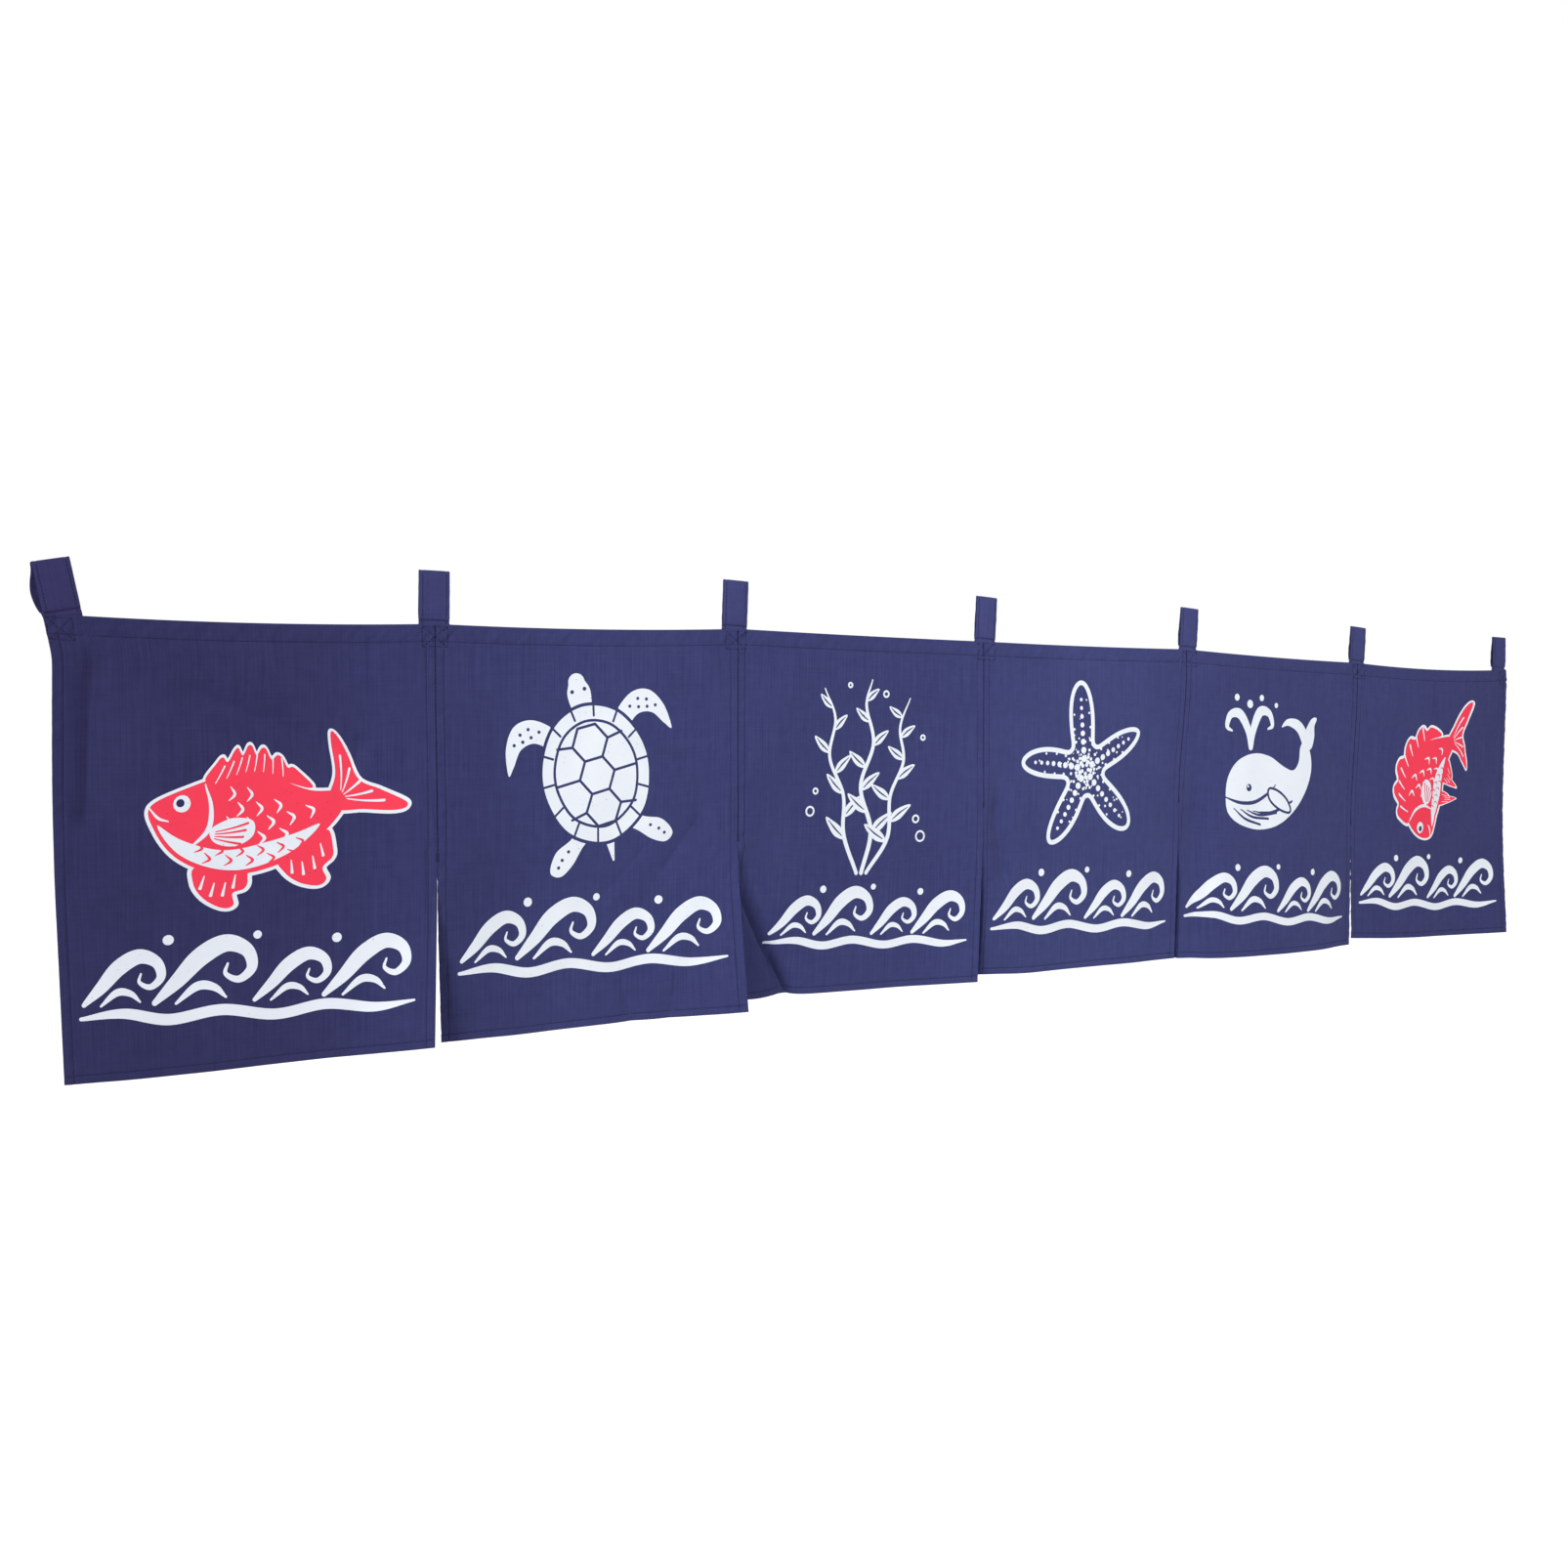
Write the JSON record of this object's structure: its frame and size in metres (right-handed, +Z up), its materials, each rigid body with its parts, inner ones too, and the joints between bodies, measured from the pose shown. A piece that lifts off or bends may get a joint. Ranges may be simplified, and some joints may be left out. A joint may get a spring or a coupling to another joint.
{
  "type": "noren curtain",
  "caption": "Short navy shop curtain of hemmed cloth panels, sewn edge to edge above open slits, printed with sea animals over rolling waves and hung from flat strap loops.",
  "frame": {"origin": "on the line of the rod that carries the curtain, at mid width, at the top of the middle loop", "axes": "+X along the curtain from left to right as it is looked at, +Y from its printed front to its back, +Z up"},
  "size_m": [1.8293, 0.06, 0.422],
  "materials": {
    "navy_cloth": "plain-woven navy cotton blend, matt, with screen-printed white and red motifs",
    "navy_strap": "the same navy cloth folded into a flat strap, matt"
  },
  "bodies": {
    "root": {"panel_1": "navy_cloth", "panel_2": "navy_cloth", "panel_3": "navy_cloth", "panel_4": "navy_cloth", "panel_5": "navy_cloth", "panel_6": "navy_cloth", "loop_1": "navy_strap", "loop_2": "navy_strap", "loop_3": "navy_strap", "loop_4": "navy_strap", "loop_5": "navy_strap", "loop_6": "navy_strap", "loop_7": "navy_strap"}
  },
  "joints": []
}
